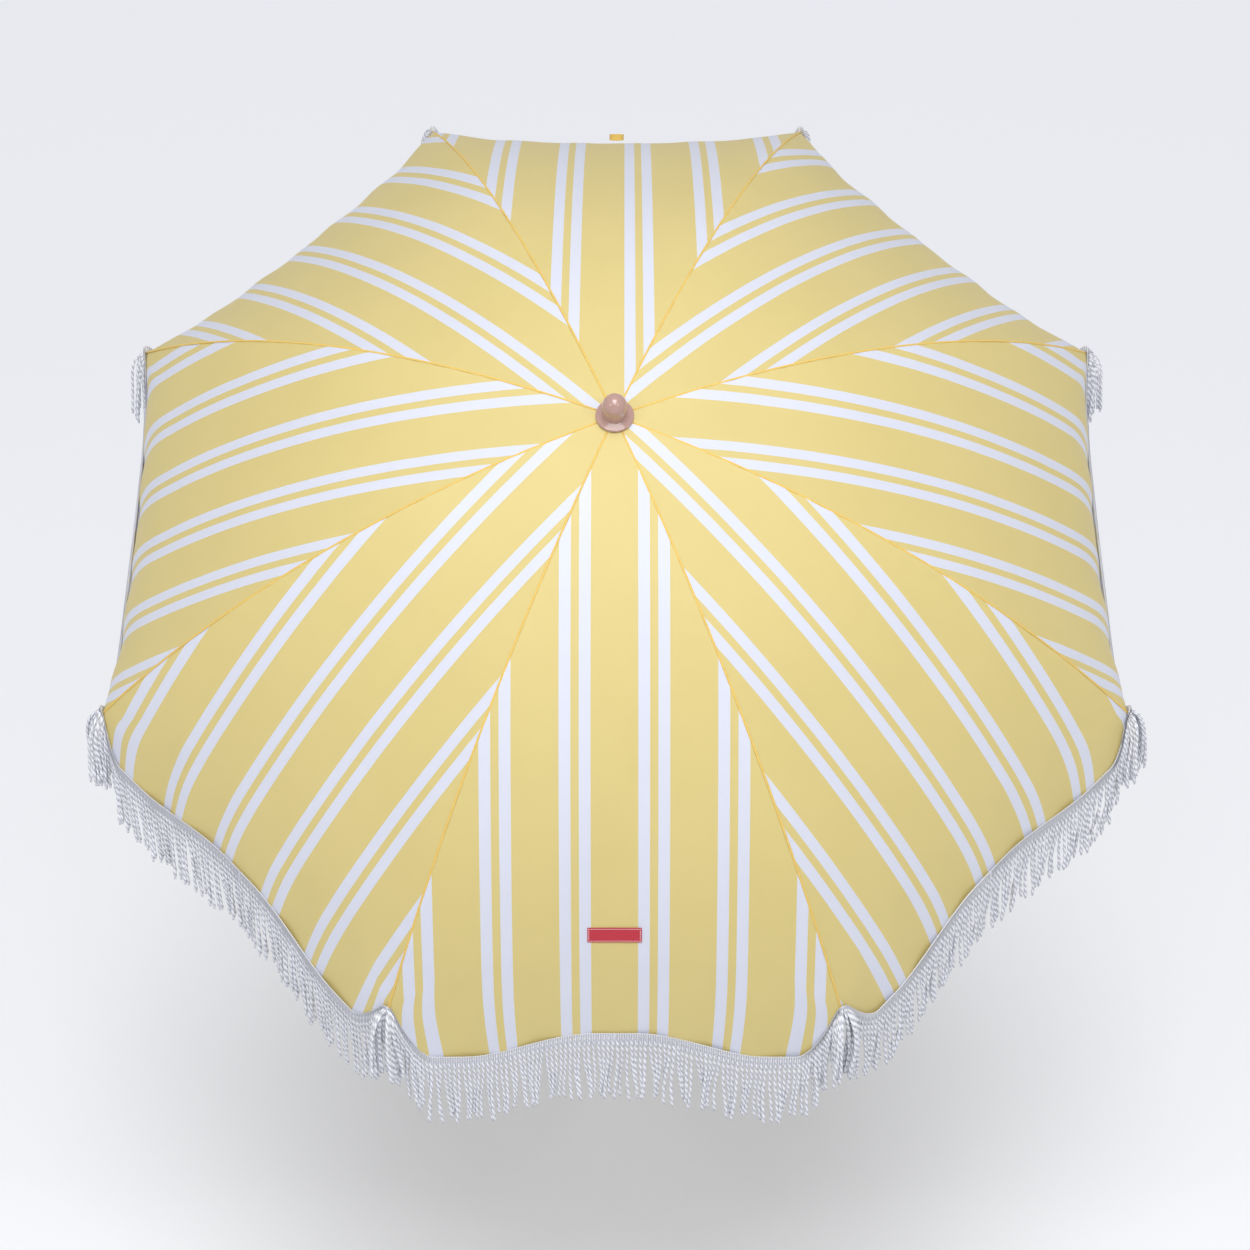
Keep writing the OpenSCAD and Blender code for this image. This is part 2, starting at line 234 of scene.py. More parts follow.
def cloth_point(k, side, share, p, fall):
    """Cloth at angle p, or past the bend by fall metres along the hanging direction."""
    down, hanging = hanging_dirs(k, side, share)
    bend = bend_length(share)
    t = np.clip(np.asarray(fall, float) / bend, 0, None)
    turned = bend * np.where(t < 1, t**3 - t**4 / 2, t - 0.5)
    still_down = (t * bend - turned)[..., None] * down
    return dome_point(k, side, share, p) + still_down + turned[..., None] * hanging


def curtain_dir(k, side):
    """Straight out of the hanging cloth."""
    panel = rib_angle(k) + side * HALF_PANEL
    return unit(np.cross(HANG, [-math.sin(panel), math.cos(panel), 0.0]))


print("cloth turns to hang over", BEND_AT_RIB, "m on a rib and", BEND, "m between two")

# %% [markdown]
# ## Camera
# A camera can be placed by hand, or by two numbers that a maker would say: how far away it is and
# how steeply it looks down.  The second way is used, measured from the middle of the circle
# through the rib tips.  It looks down on the crown from the front, with a slightly long lens, and
# a small slide sideways and down frames the whole canopy.

# %% Camera
PITCH = math.radians(30.13)
DISTANCE = 3.3283
SLIDE_RIGHT = 0.0157
SLIDE_DOWN = 0.1675
LENS = 56.32
tip_height = ARC_Z + RIB_ARC * math.cos(HEM_ANGLE)
tip_circle_middle = Vector(to_world([0, 0, tip_height]))
look_up = Vector((0, math.sin(PITCH), math.cos(PITCH)))
look_back = Vector((0, -math.cos(PITCH), math.sin(PITCH)))

camera = bpy.data.objects.new("camera", bpy.data.cameras.new("camera"))
bpy.context.scene.collection.objects.link(camera)
slide = SLIDE_RIGHT * mast_x - SLIDE_DOWN * look_up
camera.location = tip_circle_middle + slide + DISTANCE * look_back
camera.rotation_euler = (math.pi / 2 - PITCH, 0, 0)
camera.data.lens = LENS
camera.data.sensor_width = 36
camera.data.clip_end = 200
bpy.context.scene.camera = camera
bpy.context.scene.view_settings.view_transform = "Standard"
print("camera at", [round(c, 3) for c in camera.location])

# %% [markdown]
# ## Helpers for materials
# Every finish is a small tree of nodes round one Principled shader.  A tree can be drawn in the
# node editor or written down; written down, it can be read and repeated.  These helpers make the
# shader with its constant values set on its own sockets, and join nodes with fewer words.

# %% Material helpers
def finish(name, colour, rough, **sockets):
    """A new material with one Principled shader.  sockets are other inputs, _ for a space."""
    material = bpy.data.materials.new(name)
    material.use_nodes = True
    shader = material.node_tree.nodes["Principled BSDF"]
    shader.inputs["Base Color"].default_value = (*colour, 1)
    shader.inputs["Roughness"].default_value = rough
    for socket, value in sockets.items():
        shader.inputs[socket.replace("_", " ")].default_value = value
    return material


def add(material, kind, **settings):
    """A node, with its properties set by name and its inputs by in_0, in_Scale and so on."""
    node = material.node_tree.nodes.new(kind)
    for key, value in settings.items():
        if key.startswith("in_"):
            socket = key[3:]
            node.inputs[int(socket) if socket.isdigit() else socket].default_value = value
        else:
            setattr(node, key, value)
    return node


def join(material, a, out, b, into):
    material.node_tree.links.new(a.outputs[out], b.inputs[into])


def shader_of(material):
    return material.node_tree.nodes["Principled BSDF"]


def bump(material, height_node, out, strength, distance):
    """Adds a bump from a height to the shader."""
    node = add(material, "ShaderNodeBump", in_Strength=strength, in_Distance=distance)
    join(material, height_node, out, node, "Height")
    join(material, node, "Normal", shader_of(material), "Normal")
    return node


def mix(material, factor_node, factor_out, low, high):
    """A colour that goes from low to high with a factor."""
    node = add(material, "ShaderNodeMix", data_type="RGBA")
    node.inputs[6].default_value = (*low, 1)
    node.inputs[7].default_value = (*high, 1)
    join(material, factor_node, factor_out, node, 0)
    return node


print("shader helpers ready")

# %% Patterns and tones
def object_space(material, turn=(0, 0, 0), scale=(1, 1, 1)):
    """Object coordinates, turned and stretched by a Mapping node."""
    place = add(material, "ShaderNodeTexCoord")
    mapping = add(material, "ShaderNodeMapping", in_Rotation=turn, in_Scale=scale)
    join(material, place, "Object", mapping, "Vector")
    return mapping


def pattern(material, kind, space, **settings):
    """A texture node that reads its place from space, the UV map or the object's coordinates."""
    node = add(material, kind, **settings)
    join(material, space, 0, node, "Vector")
    return node


def two_tones(material, texture, low, high, strength, depth):
    """Colours a material from low to high with a texture, which also stands up by depth metres."""
    tone = mix(material, texture, "Fac", low, high)
    join(material, tone, 2, shader_of(material), "Base Color")
    bump(material, texture, "Fac", strength, depth)


# a Wave node's bands are this far apart at scale 1, so WAVE / size gives bands of a real size
WAVE = 0.314
NOISE, BANDS = "ShaderNodeTexNoise", "ShaderNodeTexWave"
print("a Wave node's bands are", WAVE, "m apart at scale 1")

# %% [markdown]
# ## The striped cloth
# The cloth is a plain weave printed with pairs of white stripes that run down each panel.  Each
# panel is cut from the striped roll where it happens to fall, so the stripes of two panels meet
# at an angle on the seam.  A UV map in metres carries this: U is measured across the panel from
# the nearest pair of stripes, and V down it.  A triangle wave of U gives the distance from the
# middle of a pair, and one compare node paints both stripes.

# %% Cloth material
STRIPE_PITCH = 0.1185
STRIPE_MIDDLE = 0.01495
STRIPE_HALF = 0.00875
THREAD = 0.0009

canopy_cloth = finish(
    "canopy_cloth", (0.70, 0.57, 0.22), 0.52, Sheen_Weight=0.15, Sheen_Roughness=0.5
)
cloth_uv = add(canopy_cloth, "ShaderNodeUVMap", uv_map="UVMap")
axes = add(canopy_cloth, "ShaderNodeSeparateXYZ")
join(canopy_cloth, cloth_uv, "UV", axes, 0)
from_pair = add(canopy_cloth, "ShaderNodeMath", operation="PINGPONG", in_1=STRIPE_PITCH / 2)
join(canopy_cloth, axes, "X", from_pair, 0)
in_stripe = add(
    canopy_cloth, "ShaderNodeMath", operation="COMPARE", in_1=STRIPE_MIDDLE, in_2=STRIPE_HALF
)
join(canopy_cloth, from_pair, 0, in_stripe, 0)
print("stripe pitch", STRIPE_PITCH, "m, stripe", 2 * STRIPE_HALF, "m wide")

# %% Cloth colours and weave
cloud = pattern(canopy_cloth, NOISE, object_space(canopy_cloth), in_Scale=5.0, in_Detail=4.0)
yellow = mix(canopy_cloth, cloud, "Fac", (0.665, 0.540, 0.195), (0.725, 0.595, 0.240))
white = mix(canopy_cloth, cloud, "Fac", (0.66, 0.68, 0.78), (0.72, 0.74, 0.84))
stripes = add(canopy_cloth, "ShaderNodeMix", data_type="RGBA")
join(canopy_cloth, in_stripe, 0, stripes, 0)
join(canopy_cloth, yellow, 2, stripes, 6)
join(canopy_cloth, white, 2, stripes, 7)
join(canopy_cloth, stripes, 2, shader_of(canopy_cloth), "Base Color")

# the weave: warp and weft threads as two fine waves
weave = add(canopy_cloth, "ShaderNodeMath", operation="ADD")
for into, direction in enumerate("XY"):
    threads = pattern(
        canopy_cloth, BANDS, cloth_uv, bands_direction=direction, in_Scale=WAVE / THREAD
    )
    join(canopy_cloth, threads, "Fac", weave, into)
bump(canopy_cloth, weave, 0, 0.35, 0.0002)
print("threads", THREAD, "m apart")

# %% [markdown]
# ## Building a piece that follows a formula
# A sheet could be modelled by hand or draped over the ribs.  Here it starts as a flat bmesh grid,
# and each of its vertices is then moved to its place.  The grid gives clean rows and columns, so
# the sheet smooths well and its UV map follows the cloth.

# %% Piece helpers
def new_piece(name, mesh_builder, material, smooth=True):
    """Turns a bmesh into a finished object at the origin."""
    bmesh.ops.recalc_face_normals(mesh_builder, faces=mesh_builder.faces)
    # an open edge stays sharp, so that the rim of a solid sheet doesn't darken its face
    for edge in mesh_builder.edges:
        edge.smooth = not edge.is_boundary
    mesh = bpy.data.meshes.new(name)
    mesh_builder.to_mesh(mesh)
    mesh_builder.free()
    mesh.shade_smooth() if smooth else mesh.shade_flat()
    piece = bpy.data.objects.new(name, mesh)
    bpy.context.scene.collection.objects.link(piece)
    piece.data.materials.append(material)
    return piece


def grid(columns, rows):
    """A flat grid, and its vertices' places from -1 to 1 both ways."""
    made = bmesh.new()
    bmesh.ops.create_grid(made, x_segments=columns - 1, y_segments=rows - 1, size=1)
    made.verts.ensure_lookup_table()
    return made, np.array([v.co for v in made.verts])


def move_to(made, points):
    """Moves every vertex to its own world point."""
    for vertex, point in zip(made.verts, points):
        vertex.co = point


def thicken(piece, thickness, offset):
    """Gives a sheet its thickness: offset -1 keeps its outer face in place, 0 its middle."""
    solid = piece.modifiers.new("thickness", "SOLIDIFY")
    solid.thickness = thickness
    solid.offset = offset


def lay_uv(made, uv_of):
    """Writes a UV map: uv_of gives the two coordinates of a vertex."""
    layer = made.loops.layers.uv.new("UVMap")
    for face in made.faces:
        for loop in face.loops:
            loop[layer].uv = uv_of(loop.vert)


print("piece helpers ready")

# %% Riding on a rib
def rib_axis(k):
    joint = joints[f"rib_{k}_fold"]
    return Vector(joint["axis"]).normalized(), Vector(joint["pos_m"])


def ride_rib(piece, k):
    """The piece turns with rib k, on a mesh of its own."""
    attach(piece, f"rib_{k}")
    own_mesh(piece)


print("fold axis of rib 1:", [round(c, 3) for c in rib_axis(1)[0]])

# %% [markdown]
# ## Gores
# A real canopy is sewn from panels along the ribs.  Here the sheet is divided where the umbrella
# folds, at the middle of each panel, so each gore goes over one rib and turns with it.  Two gores
# share the same edge line, so the canopy is one curved sheet.  Cloth on a dome isn't perfect:
# small puckers run out from the seams, where the thread draws the cloth in, and there is a soft
# slack between the ribs.  Both are small moves along the cloth's normal.

# %% Gore shape
# how far each panel's nearest stripe pair is from its middle line, in metres
PANEL_PHASE = [0.060, 0.028, 0.080, 0.024, 0.069, 0.070, 0.0592, 0.113]
GORE_COLUMNS = 49
GORE_ROWS = 104
HEM_ROWS = 16
CLOTH_THICK = 0.0006


def panel_index(k, side):
    return round((rib_angle(k) + side * HALF_PANEL) / (2 * HALF_PANEL)) % RIBS


def gore_drop(k, side, share):
    """The hem's drop on both panels beside rib k."""
    left = hem_drop(1 - share, rib_angle(k) - HALF_PANEL)
    right = hem_drop(1 - share, rib_angle(k) + HALF_PANEL)
    return np.where(side < 0, left, right)


def gore_places(k, xy):
    """Side, share, angle and fall of each vertex of a grid from -1 to 1."""
    side = np.where(xy[:, 0] < 0, -1, 1)
    share = np.abs(xy[:, 0]) ** 1.25
    row = np.rint((1 - xy[:, 1]) / 2 * (GORE_ROWS - 1))
    dome_rows = GORE_ROWS - HEM_ROWS
    p = CROWN_ANGLE + (bend_angle(share) - CROWN_ANGLE) * np.clip(row / (dome_rows - 1), 0, 1)
    t = np.clip((row - dome_rows + 1) / HEM_ROWS, 0, 1)
    fall = t * (gore_drop(k, side, share) + bend_length(share) / 2)
    return side, share, p, fall


def slack(world):
    """A soft unevenness of the cloth, the same on both sides of a joint: 1 mm and 0.35 mm high."""
    soft = np.array([noise.noise(Vector(w) * 6.5) for w in world])
    fine = np.array([noise.noise(Vector(w) * 22 + Vector((7, 3, 1))) for w in world])
    return 0.0010 * soft + 0.00035 * fine


print("gore grid:", GORE_COLUMNS, "by", GORE_ROWS)

# %% Points and normals of a gore
def gore_points(k, side, share, p, fall):
    points = np.zeros((len(share), 3))
    normals = np.zeros((len(share), 3))
    for s in (-1, 1):
        at = side == s
        points[at] = cloth_point(k, s, share[at], p[at], fall[at])
        hang_share = ease(0, 1, fall[at] / bend_length(share[at]))[:, None]
        out = outward(rib_angle(k) + s * HALF_PANEL, p[at])
        normals[at] = unit(out * (1 - hang_share) + curtain_dir(k, s) * hang_share)
    return points, normals


def cloth_metres(k, side, share, p, fall):
    """Across and down the panel, in metres from its middle line and from the crown."""
    reach = CLOTH_ARC * np.sin(p) * math.sin(HALF_PANEL)
    return -side * reach * (1 - share), CLOTH_ARC * p + fall


PANEL_WIDTH = 2 * CLOTH_ARC * math.sin(HEM_ANGLE) * math.sin(HALF_PANEL)
print("one panel is", round(PANEL_WIDTH, 3), "m wide at the hem")

# %% Puckers and sway
PUCKER_HEIGHT = 0.00045
PUCKER_GAP = 0.045
PUCKER_REACH = 0.022
SWAY_HEIGHT = 0.0022
SWAY_GAP = 0.115


def unevenness(k, share, p, fall):
    """Height of the puckers beside the seam, and of the soft waves in the hanging hem."""
    reach = CLOTH_ARC * np.sin(p) * math.sin(HALF_PANEL)
    off_seam = share * reach
    along = CLOTH_ARC * p
    drawn = np.exp(-off_seam / PUCKER_REACH) * (off_seam > 0) * ease(0.05, 0.2, along)
    pucker = PUCKER_HEIGHT * drawn * np.sin(along * 2 * math.pi / PUCKER_GAP + 1.7 * k)
    wave = np.sin(share * reach * 2 * math.pi / SWAY_GAP + 2.1 * k)
    sway = SWAY_HEIGHT * ease(0.01, 0.06, fall) * wave * ease(0, 0.2, 1 - share)
    return pucker + sway


print("puckers", PUCKER_HEIGHT, "m high, waves in the hem", SWAY_HEIGHT, "m")

# %% Make the gores
def make_gore(k):
    made, xy = grid(GORE_COLUMNS, GORE_ROWS)
    side, share, p, fall = gore_places(k, xy)
    points, normals = gore_points(k, side, share, p, fall)
    world = to_world(points)
    lift = slack(world) + unevenness(k, share, p, fall)
    move_to(made, world + lift[:, None] * (normals @ MAST.T))

    layer = made.loops.layers.uv.new("UVMap")
    for face in made.faces:
        middle = sum(xy[v.index][0] for v in face.verts)
        face_side = -1 if middle < 0 else 1
        phase = PANEL_PHASE[panel_index(k, face_side)]
        index = [v.index for v in face.verts]
        across, down = cloth_metres(k, face_side, share[index], p[index], fall[index])
        for loop, a, d in zip(face.loops, across, down):
            loop[layer].uv = (a - phase, d)
    gore = new_piece(f"gore_{k}", made, canopy_cloth)
    thicken(gore, CLOTH_THICK, -1)
    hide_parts(f"canopy_gore_{k}")
    return gore


centre = Vector(to_world([0, 0, ARC_Z]))


def look_away(piece, index):
    """Turns a sheet's faces over if one of them looks towards the middle of the ribs' arc."""
    face = piece.data.polygons[index]
    if face.normal.dot(face.center - centre) < 0:
        piece.data.flip_normals()


gores = {k: make_gore(k) for k in range(1, RIBS + 1)}
for gore in gores.values():
    look_away(gore, len(gore.data.polygons) // 2)
print("gores:", len(gores), "with", len(gores[1].data.polygons), "faces each")

# %% [markdown]
# ## Seams
# The panels are joined by a felled seam: both edges are folded over and stitched, which leaves a
# narrow ridge on top of each rib.  A curve with a round bevel could make it.  The cloth on a rib
# is a circular arc, so the ridge is one small oval outline, half sunk in the cloth, spun about
# the arc's centre, which keeps it exactly on the cloth.  Its thread is a warmer yellow.

# %% Seam material and shape
seam_thread = finish("seam_thread", (0.80, 0.52, 0.10), 0.7, Sheen_Weight=0.1)
seam_fibres = pattern(seam_thread, NOISE, object_space(seam_thread), in_Scale=260.0, in_Detail=2.0)
two_tones(seam_thread, seam_fibres, (0.74, 0.47, 0.085), (0.88, 0.63, 0.17), 0.6, 0.0004)

SEAM_WIDTH = 0.0034
SEAM_HEIGHT = 0.0024
SEAM_STEPS = 90
SEAM_START = CROWN_ANGLE + 0.003


def make_seam(k):
    made = bmesh.new()
    ring = bmesh.ops.create_circle(made, segments=8, radius=0.5)
    # the outline stands square to the rib at the crown end, then turns with the arc
    radial = flat_dir(rib_angle(k))
    across = np.array([-radial[1], radial[0], 0])
    out = math.sin(SEAM_START) * radial + np.array([0, 0, math.cos(SEAM_START)])
    arc_middle = np.array([0, 0, ARC_Z])
    for v in ring["verts"]:
        point = arc_middle + (CLOTH_ARC + v.co.y * SEAM_HEIGHT) * out + v.co.x * SEAM_WIDTH * across
        v.co = to_world(point)
    made.faces.new(ring["verts"])
    bmesh.ops.spin(
        made,
        geom=made.faces[:],
        cent=to_world(arc_middle),
        axis=Vector(across @ MAST.T),
        angle=HEM_ANGLE - SEAM_START,
        steps=SEAM_STEPS,
    )
    bmesh.ops.remove_doubles(made, verts=made.verts, dist=1e-6)
    return new_piece(f"seam_{k}", made, seam_thread)


seams = {k: make_seam(k) for k in range(1, RIBS + 1)}
print("seams:", len(seams), "each", round(CLOTH_ARC * (HEM_ANGLE - CROWN_ANGLE), 3), "m long")

# %% [markdown]
# ## Crown patch
# Under the finial the panels run together over the hub.  A small round piece of cloth closes the
# hole there.  It could be drawn as part of the gores, but it stays with the mast when the ribs
# fold, so it is a piece of its own: a disc with a hole, inset from its rim and laid on the dome.

# %% Crown patch
PATCH_RADIUS = 0.030
PATCH_HOLE = 0.007


def make_crown():
    made = bmesh.new()
    bmesh.ops.create_circle(made, segments=64, radius=PATCH_RADIUS)
    bmesh.ops.contextual_create(made, geom=made.edges[:])
    bmesh.ops.inset_region(
        made,
        faces=made.faces[:],
        thickness=PATCH_RADIUS - PATCH_HOLE,
        use_boundary=True,
        use_even_offset=True,
    )
    hole = [f for f in made.faces if len(f.verts) > 4]
    bmesh.ops.delete(made, geom=hole, context="FACES")
    bmesh.ops.subdivide_edges(made, edges=[e for e in made.edges if len(e.link_faces) == 2], cuts=3)
    lay_uv(made, lambda v: (v.co.x + STRIPE_PITCH / 2, v.co.y))
    for v in made.verts:
        r = v.co.xy.length
        v.co = to_world([v.co.x, v.co.y, ARC_Z + math.sqrt(CLOTH_ARC**2 - r * r) - 0.0002])
    patch = new_piece("crown_patch", made, canopy_cloth)
    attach(patch, "mast")
    return patch


crown_patch = make_crown()
print("crown patch:", len(crown_patch.data.polygons), "faces")

# %% [markdown]
# ## Cotton braid and cords
# The fringe is bought by the metre: a woven braid with twisted two-ply cords hanging from it.
# The braid is stitched over the raw edge of the cloth and is ribbed from top to bottom, with small
# loops standing along its upper edge.  The cords hang about a hand's width and cling together in
# little groups.  They could be hair, but hair can't be exported as a solid piece, so the cords are
# thin meshes and the material draws their twist, with a painted shade in the grooves between the
# plies.  Their UV map says how far round the cord a point is and how far down it, and two plies
# wind round as both grow.

# %% Cotton materials
CORD_TURN = 0.0090

fringe_cotton = finish(
    "fringe_cotton", (0.84, 0.85, 0.90), 0.85, Sheen_Weight=0.3, Sheen_Roughness=0.6
)
cord_uv = add(fringe_cotton, "ShaderNodeUVMap", uv_map="UVMap")
cord_axes = add(fringe_cotton, "ShaderNodeSeparateXYZ")
join(fringe_cotton, cord_uv, "UV", cord_axes, 0)
along_turn = add(fringe_cotton, "ShaderNodeMath", operation="MULTIPLY", in_1=1 / CORD_TURN)
join(fringe_cotton, cord_axes, "Y", along_turn, 0)
# two plies: twice round the cord, carried on by its length
plies = add(fringe_cotton, "ShaderNodeMath", operation="MULTIPLY_ADD", in_1=2.0)
join(fringe_cotton, cord_axes, "X", plies, 0)
join(fringe_cotton, along_turn, 0, plies, 2)
ply = add(fringe_cotton, "ShaderNodeMath", operation="PINGPONG", in_1=0.5)
join(fringe_cotton, plies, 0, ply, 0)
ply_relief_and_shade = add(fringe_cotton, "ShaderNodeMapRange", interpolation_type="SMOOTHSTEP", in_2=0.34)
join(fringe_cotton, ply, 0, ply_relief_and_shade, 0)
# painted shade: the grooves between the plies take the darker colour, the ply crests the cotton's
# own white
cotton_and_groove_shade = mix(fringe_cotton, ply_relief_and_shade, 0, (0.62, 0.635, 0.72), (0.93, 0.935, 0.98))
join(fringe_cotton, cotton_and_groove_shade, 2, shader_of(fringe_cotton), "Base Color")
bump(fringe_cotton, ply_relief_and_shade, 0, 0.9, 0.0016)
print("cord turns once in", CORD_TURN, "m")

# %% Braid cotton
BRAID_RIB = 0.0037

braid_cotton = finish(
    "braid_cotton", (0.86, 0.87, 0.92), 0.85, Sheen_Weight=0.3, Sheen_Roughness=0.6
)
braid_uv = add(braid_cotton, "ShaderNodeUVMap", uv_map="UVMap")
braid_ribs_and_shade = pattern(
    braid_cotton, BANDS, braid_uv, bands_direction="X", in_Scale=WAVE / BRAID_RIB
)
# painted shade: the troughs between the ribs take the darker colour, the rib tops the cotton's own
# white
two_tones(braid_cotton, braid_ribs_and_shade, (0.60, 0.61, 0.69), (0.96, 0.965, 0.99), 0.7, 0.0008)
print("braid ribs", BRAID_RIB, "m apart")

# %% Points along the hem
HEM_SAMPLES = 1201


def hem_line(k):
    """Signed share, point, outward direction and length along the hem of gore k."""
    x = np.linspace(-1, 1, HEM_SAMPLES)
    side = np.where(x < 0, -1, 1)
    share = np.abs(x)
    fall = gore_drop(k, side, share) + bend_length(share) / 2
    points, out = gore_points(k, side, share, bend_angle(share), fall)
    steps = np.linalg.norm(np.diff(points, axis=0), axis=1)
    return x, points, out, np.concatenate([[0], np.cumsum(steps)])


def at_length(line, lengths):
    """Points and outward directions at given lengths along the hem."""
    x, points, out, length = line
    pick = [np.interp(lengths, length, points[:, i]) for i in range(3)]
    face = [np.interp(lengths, length, out[:, i]) for i in range(3)]
    return np.stack(pick, axis=-1), unit(np.stack(face, axis=-1))


hem_lines = {k: hem_line(k) for k in range(1, RIBS + 1)}
print("hem of one gore:", round(hem_lines[1][3][-1], 3), "m")

# %% [markdown]
# ## The braid
# The braid is a narrow ribbon, ribbed across.  Its ribs could be only a bump, but they show on
# its edges, so they are real: every second column of a fine grid stands a little further out and
# a little higher than its neighbours, which also makes the small loops of the upper edge.

# %% Make the braid
BRAID_TOP = 0.0135
BRAID_LOW = 0.005
BRAID_ROWS = 5
BRAID_STAND = 0.0013
BRAID_THICK = 0.0018
RIDGE = 0.0011
LOOP_HIGH = 0.0018
LOOP_LOW = -0.0008


def make_braid(k):
    line = hem_lines[k]
    total = line[3][-1]
    columns = 2 * round(total / BRAID_RIB) + 1
    made, xy = grid(columns, BRAID_ROWS)
    lengths = (xy[:, 0] + 1) / 2 * total
    points, out = at_length(line, lengths)
    column = np.rint((xy[:, 0] + 1) / 2 * (columns - 1)).astype(int)
    ridge = np.where(column % 2 == 0, RIDGE, -RIDGE)
    loops = np.where(xy[:, 1] > 0.9, np.where(column % 2 == 0, LOOP_HIGH, LOOP_LOW), 0)
    height = BRAID_TOP * np.clip(xy[:, 1], 0, 1) + BRAID_LOW * np.clip(xy[:, 1], -1, 0) + loops
    stand = BRAID_STAND + ridge + 0.0004 * (1 - np.abs(xy[:, 1]))
    points = points - height[:, None] * HANG + stand[:, None] * out
    move_to(made, to_world(points))
    lay_uv(made, lambda v: (lengths[v.index], height[v.index]))
    braid = new_piece(f"braid_{k}", made, braid_cotton)
    thicken(braid, BRAID_THICK, 0)
    return braid


braids = {k: make_braid(k) for k in range(1, RIBS + 1)}
print("braid faces on one gore:", len(braids[1].data.polygons))

# %% [markdown]
# ## One cord, many times
# A cord appears hundreds of times, so one light cord is made once and copied.  It is a four-sided
# tube whose outline turns from ring to ring, so its edges wind round it as two plies do.  Each
# copy is then bent to its own line, and its last rings open into a small cut tuft.

# %% The pattern cord
CORD_RINGS = 15
CORD_RADIUS = 0.0028


def pattern_cord():
    """A cord from z 0 to 1 with radius 1, its rings turned an eighth of a turn each."""
    made = bmesh.new()
    bmesh.ops.create_cone(made, segments=4, radius1=1, radius2=1, depth=1, cap_ends=True)
    upright = [e for e in made.edges if abs(e.verts[0].co.z - e.verts[1].co.z) > 0.5]
    bmesh.ops.subdivide_edges(made, edges=upright, cuts=CORD_RINGS - 2)
    layer = made.loops.layers.uv.new("UVMap")
    for face in made.faces:
        turns = [math.atan2(lp.vert.co.y, lp.vert.co.x) / math.tau % 1 for lp in face.loops]
        if max(turns) - min(turns) > 0.5:
            turns = [t + 1 if t < 0.5 else t for t in turns]
        for loop, turn in zip(face.loops, turns):
            loop[layer].uv = (turn, loop.vert.co.z + 0.5)
    for v in made.verts:
        z = v.co.z + 0.5
        ring = round(z * (CORD_RINGS - 1))
        turned = Matrix.Rotation(ring * math.pi / 4, 2) @ Vector((v.co.x, v.co.y))
        v.co = (turned.x, turned.y, z)
    mesh = bpy.data.meshes.new("pattern_cord")
    made.to_mesh(mesh)
    made.free()
    return mesh


cord = pattern_cord()
cord_co = np.array([v.co for v in cord.vertices])
print("one cord:", len(cord.polygons), "faces")

# %% [markdown]
# ## Hanging the cords
# Each cord hangs from the braid straight down, with a slight wave of its own.  A simulation could
# let hundreds of cords fall, but it would be slow and different each time, so each line is worked
# out: neighbours lean together in groups of two to six, and where the braid turns over a rib tip
# many cords bunch into a tassel and come out before they fall.

# %% One hanging cord
CORD_GAP = 0.0073
CORD_LENGTH = 0.127
CORD_ROOT = 0.009
CORD_WAVE = 0.0030
TIP_CORDS = 24
TIP_SPREAD = 0.018
THROW = 0.037
THROW_REACH = 0.024
# how soon a thrown cord turns down, and the share of its drop that it uses up per metre thrown
TURN_DOWN = 5
USED_UP = 0.16 / 0.06


def cord_points(root, out, sideways, length, pull, lean, throw, width, seed):
    """The pattern cord's vertices along one hanging line, in the mast's axes.

    pull and lean move its end sideways and out, and throw brings it out before it falls."""
    z = cord_co[:, 2]
    wave = CORD_WAVE * np.sin(z * 5 + seed) * z
    thrown = 1 - np.exp(-TURN_DOWN * z)
    drop = length * (z - throw * USED_UP * thrown)
    line = root + drop[:, None] * HANG + (throw * thrown)[:, None] * out
    line = line + (pull * ease(0.1, 1, z) + wave)[:, None] * sideways
    line = line + (lean * ease(0, 1, z) + wave)[:, None] * out
    tuft = 1 + 0.30 * ease(0.86, 0.96, z) - 0.55 * ease(0.97, 1.0, z)
    radius = width * tuft * (0.45 + 0.55 * ease(0, 0.05, z))
    round_x = (cord_co[:, 0] * radius)[:, None] * sideways
    round_y = (cord_co[:, 1] * radius * 0.86)[:, None] * out
    return line + round_x + round_y


def cord_axes_at(line, s):
    """Where a cord starts at length s of the hem, the way out of the cloth and the way along it."""
    root, out = (found[0] for found in at_length(line, np.array([s])))
    ahead = at_length(line, np.array([min(s + 0.004, line[3][-1])]))[0][0]
    behind = at_length(line, np.array([max(s - 0.004, 0)]))[0][0]
    sideways = unit(np.cross(HANG, out))
    if np.dot(ahead - behind, sideways) < 0:
        sideways = -sideways
    return root - CORD_ROOT * HANG + 0.0012 * out, out, sideways


print("cords", CORD_LENGTH, "m long,", CORD_GAP, "m apart")

